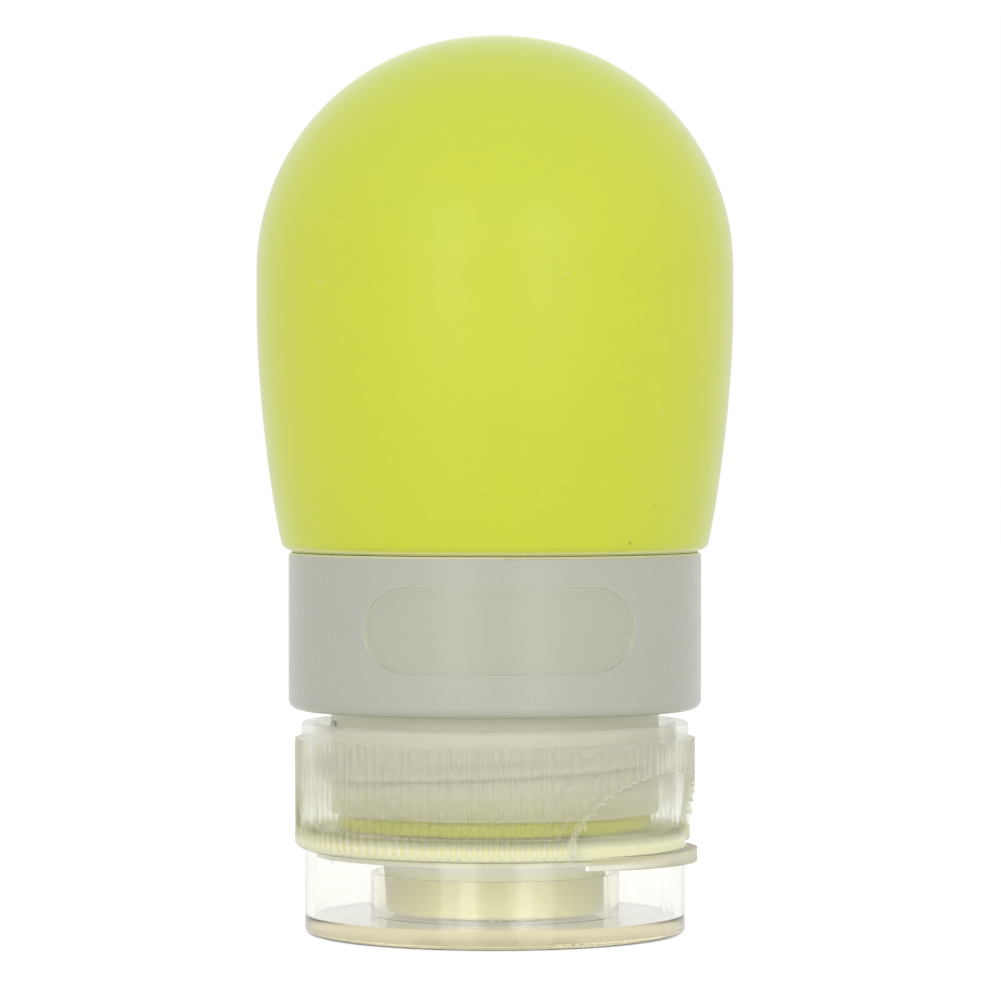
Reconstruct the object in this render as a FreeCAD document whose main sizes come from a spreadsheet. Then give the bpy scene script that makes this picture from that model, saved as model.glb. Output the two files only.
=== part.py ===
import FreeCAD, Part
import math
import os
import Sketcher

# Travel squeeze bottle, standing on its flip lid: a soft silicone dome with its neck pointing down, a rigid
# threaded neck ring, a turning dial collar over a label ring, a ribbed screw cap with a slit valve in its
# spout, and a clear lid hinged on the cap. Millimetres, +Z up, origin in the middle of the lid's base, the
# dial window facing -Y.

SIZES = {
    # Radii and walls outwards from the bore of the soft neck
    "neck_bore": 10.5,
    "neck_wall": 2.0,
    "sleeve_fit": 0.1,
    "ring_wall": 2.1,
    "drum_step": 1.5,
    "label_fit": 0.1,
    "label_wall": 0.6,
    "dial_gap": 0.3,
    "collar_wall": 1.3,
    "foot_overhang": 0.5,
    "flank_taper": 2.35,
    # Silicone body
    "flank_height": 22.4,
    "belly_height": 2.7,
    "crown_flat": 0.45,
    "body_wall": 2.5,
    "foot_round": 0.9,
    "throat_round": 1.0,
    "lip_overhang": 1.5,
    "lip_thickness": 1.4,
    # Neck ring
    "flange_gap": 0.2,
    "flange_thickness": 1.6,
    "relief_width": 1.2,
    "relief_wall": 1.1,
    "relief_depth": 9.0,
    "bead_setback": 0.1,
    "bead_land": 0.4,
    "bead_slope": 0.6,
    # Dial collar
    "collar_height": 14.0,
    "collar_play": 0.2,
    "collar_foot_round": 0.9,
    "collar_top_round": 0.3,
    "snap_depth": 0.2,
    "lip_inset": 1.3,
    "lip_web": 1.1,
    "window_half_width": 11.8,
    "window_height": 7.6,
    "window_rise": 0.6,
    "window_depth": 0.25,
    "window_bearing_angle": 1.5,
    # Screw cap
    "cap_gap": 1.15,
    "cap_height": 11.29,
    "thread_room": 1.5,
    "skirt_wall": 1.4,
    "band_height": 1.45,
    "band_step": 0.25,
    "band_round": 0.3,
    "rib_height": 0.35,
    "rib_root_half": 0.34,
    "rib_tip_half": 0.1,
    "rib_sink": 0.3,
    "rib_count": 120,
    "deck_thickness": 1.74,
    "seal_gap": 0.1,
    "platform_height": 0.56,
    "lid_fit": 0.2,
    "spout_radius": 10.05,
    "spout_draft": 0.3,
    "spout_height": 5.1,
    "spout_wall": 1.4,
    "spout_floor": 1.0,
    "spout_round": 0.5,
    "outlet_radius": 5.5,
    "thumb_half_width": 11.3,
    "thumb_height": 7.35,
    "thumb_crown_radius": 20.0,
    "thumb_shoulder_radius": 7.0,
    "thumb_bearing_angle": 62,
    # Slit valve and the snap ring that holds it
    "valve_fit": 0.1,
    "valve_seat_gap": 0.05,
    "valve_flange": 1.0,
    "valve_eye": 5.0,
    "valve_rise": 1.2,
    "valve_skin": 0.6,
    "slit_length": 6.0,
    "slit_width": 0.12,
    "retainer_fit": 0.08,
    "retainer_wall": 2.1,
    "retainer_height": 2.5,
    "snap_height": 1.6,
    "snap_half": 0.4,
    "snap_reach": 0.2,
    # Lid
    "lid_height": 7.6,
    "parting_gap": 0.06,
    "lid_setback": 0.55,
    "lid_wall": 0.85,
    "lid_plate": 1.7,
    "lid_round": 0.5,
    "socket_gap": 0.4,
    "socket_wall": 0.7,
    "socket_height": 3.75,
    "plug_gap": 0.45,
    "plug_reach": 0.5,
    "tab_radius": 12.2,
    "tab_offset": 6.6,
    "tab_thickness": 1.15,
    "tab_lift": 0.3,
    "tab_fit": 0.15,
    # Hinge between the cap and the lid
    "hinge_offset": 0.2,
    "knuckle_radius": 0.9,
    "knuckle_half": 1.6,
    "ear_gap": 0.12,
    "ear_width": 1.1,
    "pin_radius": 0.42,
    "pin_fit": 0.05,
    "swing_gap": 0.3,
    "gusset_height": 2.2,
    # How far every cutting shape runs past what it cuts
    "overrun": 2.0,
}

# Sizes that follow from the sheet, written once as sheet expressions
NECK_OUTER = "(Sizes.neck_bore + Sizes.neck_wall)"
LIP_RADIUS = f"({NECK_OUTER} + Sizes.lip_overhang)"
RING_BORE = f"({NECK_OUTER} + Sizes.sleeve_fit)"
TUBE_RADIUS = f"({RING_BORE} + Sizes.ring_wall)"
DRUM_RADIUS = f"({TUBE_RADIUS} + Sizes.drum_step)"
BEAD_RADIUS = f"({DRUM_RADIUS} - Sizes.bead_setback)"
LABEL_BORE = f"({DRUM_RADIUS} + Sizes.label_fit)"
LABEL_RADIUS = f"({LABEL_BORE} + Sizes.label_wall)"
COLLAR_BORE = f"({LABEL_RADIUS} + Sizes.dial_gap)"
COLLAR_RADIUS = f"({COLLAR_BORE} + Sizes.collar_wall)"
COLLAR_LIP_BORE = f"({BEAD_RADIUS} - Sizes.snap_depth)"
FLANGE_RADIUS = f"({COLLAR_BORE} - Sizes.flange_gap)"
FOOT_RADIUS = f"({COLLAR_RADIUS} + Sizes.foot_overhang)"
BODY_RADIUS = f"({FOOT_RADIUS} + Sizes.flank_taper)"
DOME_RADIUS = f"({BODY_RADIUS} - Sizes.crown_flat)"
DOME_FOOT = "(Sizes.flank_height + Sizes.belly_height)"
FLANK_ARC = "((Sizes.flank_height^2 + Sizes.flank_taper^2) / (2 * Sizes.flank_taper))"

CAP_BORE = f"({TUBE_RADIUS} + Sizes.thread_room)"
SKIRT_RADIUS = f"({CAP_BORE} + Sizes.skirt_wall)"
CREST_RADIUS = f"({SKIRT_RADIUS} + Sizes.rib_height)"
BAND_RADIUS = f"({SKIRT_RADIUS} - Sizes.band_step)"
SKIRT_TOP = "(Sizes.cap_height - Sizes.band_height)"
LID_RADIUS = f"({SKIRT_RADIUS} - Sizes.lid_setback)"
LID_BORE = f"({LID_RADIUS} - Sizes.lid_wall)"
PLATFORM_RADIUS = f"({LID_BORE} - Sizes.lid_fit)"
SPOUT_TIP = "(0 - Sizes.platform_height - Sizes.spout_height)"
SPOUT_TIP_RADIUS = "(Sizes.spout_radius - Sizes.spout_draft)"
WELL_RADIUS = "(Sizes.spout_radius - Sizes.spout_wall)"
WELL_FLOOR = f"({SPOUT_TIP} + Sizes.spout_floor)"
RETAINER_FOOT = f"({WELL_FLOOR} + 2 * Sizes.valve_seat_gap + Sizes.valve_flange)"
SNAP_MIDDLE = f"({RETAINER_FOOT} + Sizes.snap_height)"
SNAP_GROOVE_HALF = "(Sizes.snap_half + Sizes.retainer_fit)"
SOCKET_BORE = "(Sizes.spout_radius + Sizes.socket_gap)"
HINGE_RADIUS = f"({LID_RADIUS} + Sizes.hinge_offset)"
SWING_RADIUS = "(Sizes.knuckle_radius + Sizes.swing_gap)"
KNUCKLE_SLOT = "(2 * (Sizes.knuckle_half + Sizes.ear_gap))"
HINGE_WIDTH = "(2 * (Sizes.knuckle_half + Sizes.ear_gap + Sizes.ear_width))"

# Levels above the base of the lid
SKIRT_LEVEL = "(Sizes.lid_height + Sizes.parting_gap)"
LIP_LEVEL = f"({SKIRT_LEVEL} + Sizes.deck_thickness + Sizes.seal_gap)"
COLLAR_LEVEL = f"({SKIRT_LEVEL} + Sizes.cap_height + Sizes.cap_gap)"
SEAT_LEVEL = f"({COLLAR_LEVEL} + Sizes.collar_height + Sizes.collar_play)"
NECK_LENGTH = f"({SEAT_LEVEL} - {LIP_LEVEL} - Sizes.lip_thickness)"
COLLAR_DROP = "(Sizes.collar_height + Sizes.collar_play)"
CAP_TURN = "Sizes.thumb_bearing_angle - 90"

doc = FreeCAD.newDocument("travel_bottle")
sheet = doc.addObject("Spreadsheet::Sheet", "Sizes")


def fill_sheet():
    """Put every driving size in the sheet under its own alias."""
    for row, (alias, number) in enumerate(SIZES.items(), start=1):
        sheet.set(f"A{row}", alias)
        sheet.set(f"B{row}", str(number))
        sheet.setAlias(f"B{row}", alias)
    doc.recompute()


def value(expression):
    """Return what a sheet expression comes to, as a plain number."""
    return float(sheet.evalExpression(expression))


def origin_plane(body, role):
    """Return one of the body's own origin planes."""
    return next(item for item in body.Origin.OriginFeatures if item.Role == role)


def new_sketch(body, name, role):
    """Attach an empty sketch to one of the body's own origin planes."""
    sketch = body.newObject("Sketcher::SketchObject", name)
    sketch.AttachmentSupport = (origin_plane(body, role), [""])
    sketch.MapMode = "FlatFace"
    return sketch


def bind_point(sketch, geometry, end, across, up):
    """Hold one point of a sketch at a place given by two sheet expressions."""
    for kind, axis, expression in (("DistanceX", -2, across), ("DistanceY", -1, up)):
        if expression == "0":
            sketch.addConstraint(Sketcher.Constraint("PointOnObject", geometry, end, axis))
            continue
        index = sketch.addConstraint(Sketcher.Constraint(kind, -1, 1, geometry, end, value(expression)))
        sketch.setExpression(f"Constraints[{index}]", expression)


def bind_radius(sketch, geometry, radius):
    """Hold the radius of a circle or an arc."""
    index = sketch.addConstraint(Sketcher.Constraint("Radius", geometry, value(radius)))
    sketch.setExpression(f"Constraints[{index}]", radius)


def arc_between(start, end, radius, turn):
    """Return the short arc between two points that turns left or right on the way."""
    chord = end - start
    left = FreeCAD.Vector(-chord.y, chord.x, 0).normalize()
    stand_off = math.sqrt(max(radius ** 2 - (chord.Length / 2) ** 2, 0))
    side = 1 if turn == "left" else -1
    centre = (start + end) / 2 + left * (stand_off * side)
    circle = Part.Circle(centre, FreeCAD.Vector(0, 0, 1), radius)
    first, last = (start, end) if turn == "left" else (end, start)
    angles = [math.atan2(point.y - centre.y, point.x - centre.x) for point in (first, last)]
    return Part.ArcOfCircle(circle, angles[0], angles[1])


def closed_outline(sketch, corners):
    """Draw a closed outline and bind each corner.

    A corner is (across, up), reached by a straight run, or (across, up, radius, turn), reached by an arc.
    """
    places = [FreeCAD.Vector(value(corner[0]), value(corner[1]), 0) for corner in corners]
    ends = []
    for index, corner in enumerate(corners):
        start, end = places[index - 1], places[index]
        if len(corner) == 2:
            sketch.addGeometry(Part.LineSegment(start, end))
            ends.append((1, 2))
        else:
            radius, turn = corner[2:]
            sketch.addGeometry(arc_between(start, end, value(radius), turn))
            ends.append((1, 2) if turn == "left" else (2, 1))
    for index in range(len(corners)):
        before = index - 1 if index else len(corners) - 1
        sketch.addConstraint(
            Sketcher.Constraint("Coincident", before, ends[before][1], index, ends[index][0]))
    for index, corner in enumerate(corners):
        bind_point(sketch, index, ends[index][1], corner[0], corner[1])
        if len(corner) > 2:
            bind_radius(sketch, index, corner[2])


def circle_outline(sketch, across, up, radius):
    """Draw one circle and bind its centre and radius."""
    centre = FreeCAD.Vector(value(across), value(up), 0)
    sketch.addGeometry(Part.Circle(centre, FreeCAD.Vector(0, 0, 1), value(radius)))
    bind_point(sketch, 0, 3, across, up)
    bind_radius(sketch, 0, radius)


def new_body(name):
    """Start an empty body."""
    return doc.addObject("PartDesign::Body", name)


def turned(body, name, corners, kind="PartDesign::Revolution"):
    """Turn a closed half section about the body's own Z axis, to add or to groove."""
    sketch = new_sketch(body, name + "_section", "XZ_Plane")
    closed_outline(sketch, corners)
    feature = body.newObject(kind, name)
    feature.Profile = sketch
    feature.ReferenceAxis = (sketch, ["V_Axis"])
    doc.recompute()
    return feature


def pressed(body, name, sketch, length, kind="PartDesign::Pad"):
    """Pad or pocket a sketch evenly to both sides of its plane."""
    feature = body.newObject(kind, name)
    feature.Profile = sketch
    feature.SideType = "Symmetric"
    feature.setExpression("Length", length)
    doc.recompute()
    return feature


def hinge_round(body, name, across, up, radius, length, kind="PartDesign::Pad"):
    """Pad or pocket a round along the hinge axis, which lies along the body's Y axis."""
    sketch = new_sketch(body, name + "_section", "XZ_Plane")
    circle_outline(sketch, across, up, radius)
    return pressed(body, name, sketch, length, kind)


def rounded(body, name, base, rims, radius):
    """Fillet the circular rims that lie at the given radii and heights."""
    wanted = [(value(across), value(up)) for across, up in rims]
    found = []
    for number, edge in enumerate(base.Shape.Edges, start=1):
        if not isinstance(edge.Curve, Part.Circle):
            continue
        rim = (edge.Curve.Radius, edge.Curve.Center.z)
        if any(math.dist(rim, place) < Part.Precision.confusion() * 100 for place in wanted):
            found.append(f"Edge{number}")
    feature = body.newObject("PartDesign::Fillet", name)
    feature.Base = (base, found)
    feature.setExpression("Radius", radius)
    doc.recompute()
    return feature


def cylinder(name, radius, height):
    """Return an upright cylinder from the ground up."""
    item = doc.addObject("Part::Cylinder", name)
    item.setExpression("Radius", radius)
    item.setExpression("Height", height)
    return item


def boolean(kind, name, base, tool):
    """Cut, or keep what is common to, two objects."""
    item = doc.addObject(kind, name)
    item.Base = base
    item.Tool = tool
    return item


def shallow_recess(name, target, outline, floor_radius, rim_radius, height):
    """Cut the outline into a round piece, down to a floor that follows the round."""
    reach = f"{rim_radius} + Sizes.overrun"
    shell = boolean(
        "Part::Cut", name + "_shell",
        cylinder(name + "_reach", reach, height), cylinder(name + "_floor", floor_radius, height))
    return boolean("Part::Cut", name, target, boolean("Part::Common", name + "_cutter", shell, outline))


def place(item, level, turn=None):
    """Lift a finished piece to its level and turn it about the bottle's axis."""
    item.setExpression("Placement.Base.z", level)
    if turn:
        item.Placement.Rotation = FreeCAD.Rotation(FreeCAD.Vector(0, 0, 1), 1)
        item.setExpression("Placement.Rotation.Angle", turn)


def silicone_body():
    """Dome, belly and tapering flank in one wall, with the soft neck and the lip folded over the ring."""
    body = new_body("silicone_body")
    crown = f"({DOME_FOOT} + {DOME_RADIUS})"
    inner_flank = (f"({BODY_RADIUS} - {FLANK_ARC} + sqrt(({FLANK_ARC} - Sizes.body_wall)^2"
                   " - (Sizes.flank_height - Sizes.body_wall)^2))")
    neck_end = f"(0 - {NECK_LENGTH})"
    lip_end = f"({neck_end} - Sizes.lip_thickness)"
    section = turned(body, "body_shell", [
        ("0", crown),
        ("Sizes.crown_flat", crown),
        (BODY_RADIUS, DOME_FOOT, DOME_RADIUS, "right"),
        (BODY_RADIUS, "Sizes.flank_height"),
        (FOOT_RADIUS, "0", FLANK_ARC, "right"),
        (NECK_OUTER, "0"),
        (NECK_OUTER, neck_end),
        (LIP_RADIUS, neck_end),
        (LIP_RADIUS, lip_end),
        ("Sizes.neck_bore", lip_end),
        ("Sizes.neck_bore", "Sizes.body_wall"),
        (inner_flank, "Sizes.body_wall"),
        (f"{BODY_RADIUS} - Sizes.body_wall", "Sizes.flank_height", f"{FLANK_ARC} - Sizes.body_wall", "left"),
        (f"{BODY_RADIUS} - Sizes.body_wall", DOME_FOOT),
        ("Sizes.crown_flat", f"{crown} - Sizes.body_wall", f"{DOME_RADIUS} - Sizes.body_wall", "left"),
        ("0", f"{crown} - Sizes.body_wall"),
    ])
    foot = rounded(body, "foot_rounding", section, [(FOOT_RADIUS, "0")], "Sizes.foot_round")
    rounded(body, "throat_rounding", foot, [("Sizes.neck_bore", "Sizes.body_wall")], "Sizes.throat_round")
    place(body, SEAT_LEVEL)
    return body


def neck_ring():
    """Flange, label drum, snap bead and threaded tube, with a relief that keeps the drum thin."""
    body = new_body("neck_ring")
    drum_end = f"(Sizes.lip_inset + Sizes.lip_web + Sizes.collar_play - {COLLAR_DROP})"
    bead_top = f"(Sizes.lip_inset - Sizes.collar_play - {COLLAR_DROP})"
    bead_bottom = f"({bead_top} - Sizes.bead_land)"
    relief_outer = f"({DRUM_RADIUS} - Sizes.relief_wall)"
    relief_inner = f"({relief_outer} - Sizes.relief_width)"
    turned(body, "ring_shell", [
        (RING_BORE, "0"),
        (RING_BORE, f"0 - {NECK_LENGTH}"),
        (TUBE_RADIUS, f"0 - {NECK_LENGTH}"),
        (TUBE_RADIUS, f"{bead_bottom} - Sizes.bead_slope"),
        (BEAD_RADIUS, bead_bottom),
        (BEAD_RADIUS, bead_top),
        (TUBE_RADIUS, bead_top),
        (TUBE_RADIUS, drum_end),
        (DRUM_RADIUS, drum_end),
        (DRUM_RADIUS, "0 - Sizes.flange_thickness"),
        (FLANGE_RADIUS, "0 - Sizes.flange_thickness"),
        (FLANGE_RADIUS, "0"),
        (relief_outer, "0"),
        (relief_outer, "0 - Sizes.relief_depth"),
        (relief_inner, "0 - Sizes.relief_depth"),
        (relief_inner, "0"),
    ])
    place(body, SEAT_LEVEL)
    return body


def label_ring():
    """Thin printed sleeve on the drum, between the drum's foot and the flange."""
    body = new_body("label_ring")
    top = "(0 - Sizes.flange_thickness - Sizes.label_fit)"
    foot = f"(Sizes.lip_inset + Sizes.lip_web + Sizes.collar_play - {COLLAR_DROP})"
    turned(body, "label_sleeve", [
        (LABEL_BORE, foot),
        (LABEL_RADIUS, foot),
        (LABEL_RADIUS, top),
        (LABEL_BORE, top),
    ])
    place(body, SEAT_LEVEL)
    return body


def id_collar():
    """Dial collar with an inner lip that snaps over the bead and a smooth window sunk in its front."""
    body = new_body("collar_shell")
    lip_top = "(Sizes.lip_inset + Sizes.lip_web)"
    foot_inner = f"({COLLAR_RADIUS} - Sizes.collar_foot_round)"
    top_inner = f"({COLLAR_RADIUS} - Sizes.collar_top_round)"
    turned(body, "collar_wall_turned", [
        (COLLAR_BORE, "0"),
        (foot_inner, "0"),
        (COLLAR_RADIUS, "Sizes.collar_foot_round", "Sizes.collar_foot_round", "left"),
        (COLLAR_RADIUS, "Sizes.collar_height - Sizes.collar_top_round"),
        (top_inner, "Sizes.collar_height", "Sizes.collar_top_round", "left"),
        (COLLAR_BORE, "Sizes.collar_height"),
        (COLLAR_BORE, lip_top),
        (COLLAR_LIP_BORE, lip_top),
        (COLLAR_LIP_BORE, "Sizes.lip_inset"),
        (COLLAR_BORE, "Sizes.lip_inset"),
    ])
    collar = shallow_recess(
        "id_collar", body, window_outline(), f"{COLLAR_RADIUS} - Sizes.window_depth", COLLAR_RADIUS,
        "Sizes.collar_height")
    place(collar, COLLAR_LEVEL, "Sizes.window_bearing_angle")
    return collar


def window_outline():
    """Pill shaped bar that points out of the front of the collar."""
    body = new_body("window_outline")
    sketch = new_sketch(body, "window_pill", "XZ_Plane")
    end_radius = "(Sizes.window_height / 2)"
    middle = "(Sizes.collar_height / 2 + Sizes.window_rise)"
    bottom = f"({middle} - {end_radius})"
    top = f"({middle} + {end_radius})"
    straight = f"(Sizes.window_half_width - {end_radius})"
    closed_outline(sketch, [
        (straight, bottom),
        ("Sizes.window_half_width", middle, end_radius, "left"),
        (straight, top, end_radius, "left"),
        (f"0 - {straight}", top),
        ("0 - Sizes.window_half_width", middle, end_radius, "left"),
        (f"0 - {straight}", bottom, end_radius, "left"),
    ])
    pad = body.newObject("PartDesign::Pad", "window_bar")
    pad.Profile = sketch
    pad.setExpression("Length", f"{COLLAR_RADIUS} + Sizes.overrun")
    return body


def cap_base():
    """Ribbed skirt, smooth top band, deck, spout with its valve well, thumb recess and hinge ears."""
    body = new_body("cap_shell")
    turned(body, "cap_section", [
        ("Sizes.outlet_radius", SPOUT_TIP),
        (f"{SPOUT_TIP_RADIUS} - Sizes.spout_round", SPOUT_TIP),
        (SPOUT_TIP_RADIUS, f"{SPOUT_TIP} + Sizes.spout_round", "Sizes.spout_round", "left"),
        ("Sizes.spout_radius", "0 - Sizes.platform_height"),
        (PLATFORM_RADIUS, "0 - Sizes.platform_height"),
        (PLATFORM_RADIUS, "0"),
        (SKIRT_RADIUS, "0"),
        (SKIRT_RADIUS, SKIRT_TOP),
        (BAND_RADIUS, SKIRT_TOP),
        (BAND_RADIUS, "Sizes.cap_height - Sizes.band_round"),
        (f"{BAND_RADIUS} - Sizes.band_round", "Sizes.cap_height", "Sizes.band_round", "left"),
        (CAP_BORE, "Sizes.cap_height"),
        (CAP_BORE, "Sizes.deck_thickness"),
        (WELL_RADIUS, "Sizes.deck_thickness"),
        (WELL_RADIUS, f"{SNAP_MIDDLE} + {SNAP_GROOVE_HALF}"),
        (f"{WELL_RADIUS} + Sizes.snap_reach", SNAP_MIDDLE),
        (WELL_RADIUS, f"{SNAP_MIDDLE} - {SNAP_GROOVE_HALF}"),
        (WELL_RADIUS, WELL_FLOOR),
        ("Sizes.outlet_radius", WELL_FLOOR),
    ])
    grip_ribs(body)
    hinge = f"0 - {HINGE_RADIUS}"
    hinge_round(body, "knuckle_slot", hinge, "0", SWING_RADIUS, KNUCKLE_SLOT, "PartDesign::Pocket")
    hinge_ears(body)
    hinge_round(
        body, "pin_holes", hinge, "0", "Sizes.pin_radius + Sizes.pin_fit", f"{HINGE_WIDTH} + Sizes.overrun",
        "PartDesign::Pocket")
    cap = shallow_recess(
        "cap_base", body, thumb_outline(), LID_RADIUS, CREST_RADIUS, "Sizes.thumb_height + Sizes.overrun")
    place(cap, SKIRT_LEVEL, CAP_TURN)
    return cap


def grip_ribs(body):
    """Fine upright ribs all round the skirt, rounded off together at their feet."""
    sketch = new_sketch(body, "rib_section", "XY_Plane")
    root = f"({SKIRT_RADIUS} - Sizes.rib_sink)"
    closed_outline(sketch, [
        (root, "0 - Sizes.rib_root_half"),
        (CREST_RADIUS, "0 - Sizes.rib_tip_half"),
        (CREST_RADIUS, "Sizes.rib_tip_half"),
        (root, "Sizes.rib_root_half"),
    ])
    rib = body.newObject("PartDesign::Pad", "rib")
    rib.Profile = sketch
    rib.setExpression("Length", SKIRT_TOP)
    doc.recompute()
    ribs = body.newObject("PartDesign::PolarPattern", "ribs")
    ribs.Originals = [rib]
    ribs.Axis = (sketch, ["N_Axis"])
    ribs.setExpression("Occurrences", "Sizes.rib_count")
    body.Tip = ribs
    doc.recompute()
    foot_rim = f"({CREST_RADIUS} + Sizes.rib_tip_half)"
    foot_round = f"({foot_rim} - {LID_RADIUS})"
    outside = f"({CREST_RADIUS} + Sizes.overrun)"
    turned(body, "rib_feet", [
        (LID_RADIUS, "0 - Sizes.platform_height"),
        (outside, "0 - Sizes.platform_height"),
        (outside, foot_round),
        (foot_rim, foot_round),
        (LID_RADIUS, "0", foot_round, "right"),
    ], "PartDesign::Groove")


def hinge_ears(body):
    """Two round ears on the skirt's lower edge, one each side of the lid's knuckle."""
    sketch = new_sketch(body, "ear_section", "XZ_Plane")
    sketch.setExpression("AttachmentOffset.Base.z", f"{KNUCKLE_SLOT} / 2")
    circle_outline(sketch, f"0 - {HINGE_RADIUS}", "0", "Sizes.knuckle_radius")
    ear = body.newObject("PartDesign::Pad", "ear")
    ear.Profile = sketch
    ear.setExpression("Length", "Sizes.ear_width")
    doc.recompute()
    ears = body.newObject("PartDesign::Mirrored", "ears")
    ears.Originals = [ear]
    ears.MirrorPlane = (origin_plane(body, "XZ_Plane"), [""])
    body.Tip = ears
    doc.recompute()


def thumb_outline():
    """Bar with a three centred arch, flat at the crown, that points out over the lid's thumb tab."""
    body = new_body("thumb_outline")
    sketch = new_sketch(body, "thumb_arch", "YZ_Plane")
    inset = "(Sizes.thumb_half_width - Sizes.thumb_shoulder_radius)"
    reach = "(Sizes.thumb_crown_radius - Sizes.thumb_shoulder_radius)"
    crown_middle = "(Sizes.thumb_height - Sizes.thumb_crown_radius)"
    join = f"(Sizes.thumb_crown_radius * {inset} / {reach})"
    join_level = f"({crown_middle} + sqrt(Sizes.thumb_crown_radius^2 - {join}^2))"
    foot_level = f"({crown_middle} + sqrt({reach}^2 - {inset}^2))"
    below = "(0 - Sizes.overrun)"
    closed_outline(sketch, [
        ("Sizes.thumb_half_width", below),
        ("Sizes.thumb_half_width", foot_level),
        (join, join_level, "Sizes.thumb_shoulder_radius", "left"),
        (f"0 - {join}", join_level, "Sizes.thumb_crown_radius", "left"),
        ("0 - Sizes.thumb_half_width", foot_level, "Sizes.thumb_shoulder_radius", "left"),
        ("0 - Sizes.thumb_half_width", below),
    ])
    pad = body.newObject("PartDesign::Pad", "thumb_bar")
    pad.Profile = sketch
    pad.setExpression("Length", f"{CREST_RADIUS} + Sizes.overrun")
    return body


def spout_valve():
    """Soft valve: a clamped flange and a thin dome with two crossed slits."""
    body = new_body("spout_valve")
    crown = "(Sizes.valve_rise + Sizes.valve_skin)"
    top_rise = f"({crown} - Sizes.valve_flange)"
    under_arc = "((Sizes.valve_eye^2 + Sizes.valve_rise^2) / (2 * Sizes.valve_rise))"
    top_arc = f"((Sizes.valve_eye^2 + {top_rise}^2) / (2 * {top_rise}))"
    flange = f"({WELL_RADIUS} - Sizes.valve_fit)"
    turned(body, "valve_section", [
        ("0", "Sizes.valve_rise"),
        ("Sizes.valve_eye", "0", under_arc, "right"),
        (flange, "0"),
        (flange, "Sizes.valve_flange"),
        ("Sizes.valve_eye", "Sizes.valve_flange"),
        ("0", crown, top_arc, "left"),
    ])
    sketch = new_sketch(body, "slit_section", "XY_Plane")
    closed_outline(sketch, [
        ("0 - Sizes.slit_length / 2", "0 - Sizes.slit_width / 2"),
        ("Sizes.slit_length / 2", "0 - Sizes.slit_width / 2"),
        ("Sizes.slit_length / 2", "Sizes.slit_width / 2"),
        ("0 - Sizes.slit_length / 2", "Sizes.slit_width / 2"),
    ])
    slit = pressed(body, "slit", sketch, f"2 * {crown} + Sizes.overrun", "PartDesign::Pocket")
    slits = body.newObject("PartDesign::PolarPattern", "slits")
    slits.Originals = [slit]
    slits.Axis = (sketch, ["N_Axis"])
    slits.Angle = 90
    slits.Occurrences = 2
    body.Tip = slits
    place(body, f"{SKIRT_LEVEL} + {WELL_FLOOR} + Sizes.valve_seat_gap", CAP_TURN)
    return body


def valve_retainer():
    """Ring that snaps into the groove of the spout's well and clamps the valve's flange."""
    body = new_body("valve_retainer")
    rim = f"({WELL_RADIUS} - Sizes.retainer_fit)"
    bore = f"({rim} - Sizes.retainer_wall)"
    turned(body, "retainer_section", [
        (bore, "0"),
        (rim, "0"),
        (rim, "Sizes.snap_height - Sizes.snap_half"),
        (f"{rim} + Sizes.snap_reach", "Sizes.snap_height"),
        (rim, "Sizes.snap_height + Sizes.snap_half"),
        (rim, "Sizes.retainer_height"),
        (bore, "Sizes.retainer_height"),
    ])
    place(body, f"{SKIRT_LEVEL} + {RETAINER_FOOT}", CAP_TURN)
    return body


def lid():
    """Clear cup with a socket round the spout, a plug for the outlet, a thumb tab and a hinge knuckle."""
    body = new_body("lid")
    socket_top = "(Sizes.lid_plate + Sizes.socket_height)"
    socket_rim = f"({SOCKET_BORE} + Sizes.socket_wall)"
    plug_radius = "(Sizes.outlet_radius - Sizes.plug_gap)"
    plug_top = f"({SKIRT_LEVEL} + {SPOUT_TIP} + Sizes.plug_reach)"
    turned(body, "lid_section", [
        ("0", "0"),
        (f"{LID_RADIUS} - Sizes.lid_round", "0"),
        (LID_RADIUS, "Sizes.lid_round", "Sizes.lid_round", "left"),
        (LID_RADIUS, "Sizes.lid_height"),
        (LID_BORE, "Sizes.lid_height"),
        (LID_BORE, "Sizes.lid_plate"),
        (socket_rim, "Sizes.lid_plate"),
        (socket_rim, socket_top),
        (SOCKET_BORE, socket_top),
        (SOCKET_BORE, "Sizes.lid_plate"),
        (plug_radius, "Sizes.lid_plate"),
        (plug_radius, plug_top),
        ("0", plug_top),
    ])
    thumb_tab(body)
    hinge = f"0 - {HINGE_RADIUS}"
    hinge_round(
        body, "ear_notch", hinge, SKIRT_LEVEL, SWING_RADIUS, f"{HINGE_WIDTH} + 2 * Sizes.ear_gap",
        "PartDesign::Pocket")
    hinge_round(body, "knuckle", hinge, SKIRT_LEVEL, "Sizes.knuckle_radius", "2 * Sizes.knuckle_half")
    sketch = new_sketch(body, "gusset_section", "XZ_Plane")
    wall_middle = f"(Sizes.lid_wall / 2 - {LID_RADIUS})"
    gusset_foot = f"({SKIRT_LEVEL} - Sizes.gusset_height)"
    closed_outline(sketch, [
        (wall_middle, gusset_foot),
        (wall_middle, "Sizes.lid_height"),
        (hinge, "Sizes.lid_height"),
        (f"0 - {LID_RADIUS}", gusset_foot),
    ])
    pressed(body, "gusset", sketch, "2 * Sizes.knuckle_half")
    hinge_round(body, "trunnions", hinge, SKIRT_LEVEL, "Sizes.pin_radius", HINGE_WIDTH)
    body.setExpression("Placement.Rotation.Angle", CAP_TURN)
    return body


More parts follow.
